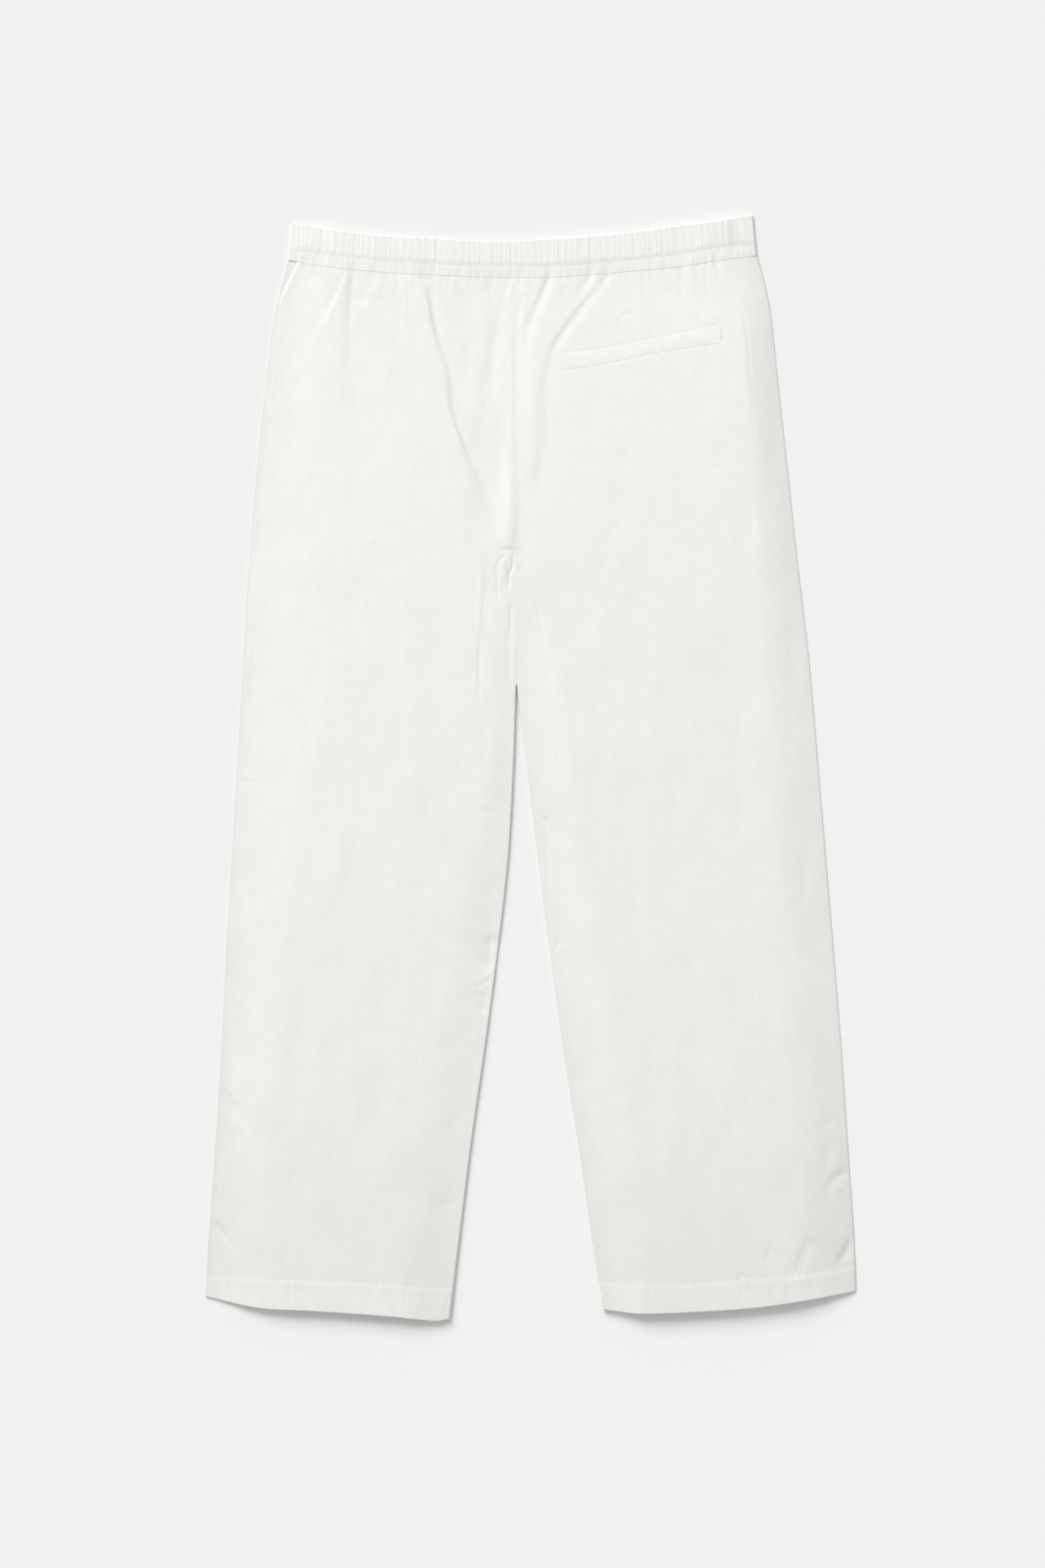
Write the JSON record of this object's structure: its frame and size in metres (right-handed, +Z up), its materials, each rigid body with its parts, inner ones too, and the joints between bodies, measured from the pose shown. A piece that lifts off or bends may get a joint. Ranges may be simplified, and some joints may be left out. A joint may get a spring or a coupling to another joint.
{
  "type": "linen drawstring trousers, laid flat",
  "caption": "Wide straight linen trousers laid flat with the back up: gathered elastic waistband with a cord channel, welt back pocket, turned-up hems.",
  "frame": {"origin": "middle of the garment's outline, at the level of the surface it lies on", "axes": "+Y up the garment from the hems to the waistband, +X to the wearer's right, +Z up from the surface, towards the garment's back"},
  "size_m": [0.6302, 1.0692, 0.0088],
  "materials": {
    "linen": "matt plain-weave linen, off-white, slubbed",
    "waistband_linen": "matt plain-weave linen gathered over elastic"
  },
  "bodies": {
    "root": {"back_panel_left": "linen", "back_panel_right": "linen", "front_panel_left": "linen", "front_panel_right": "linen", "waistband": "waistband_linen", "back_pocket_welt": "linen"}
  },
  "joints": []
}
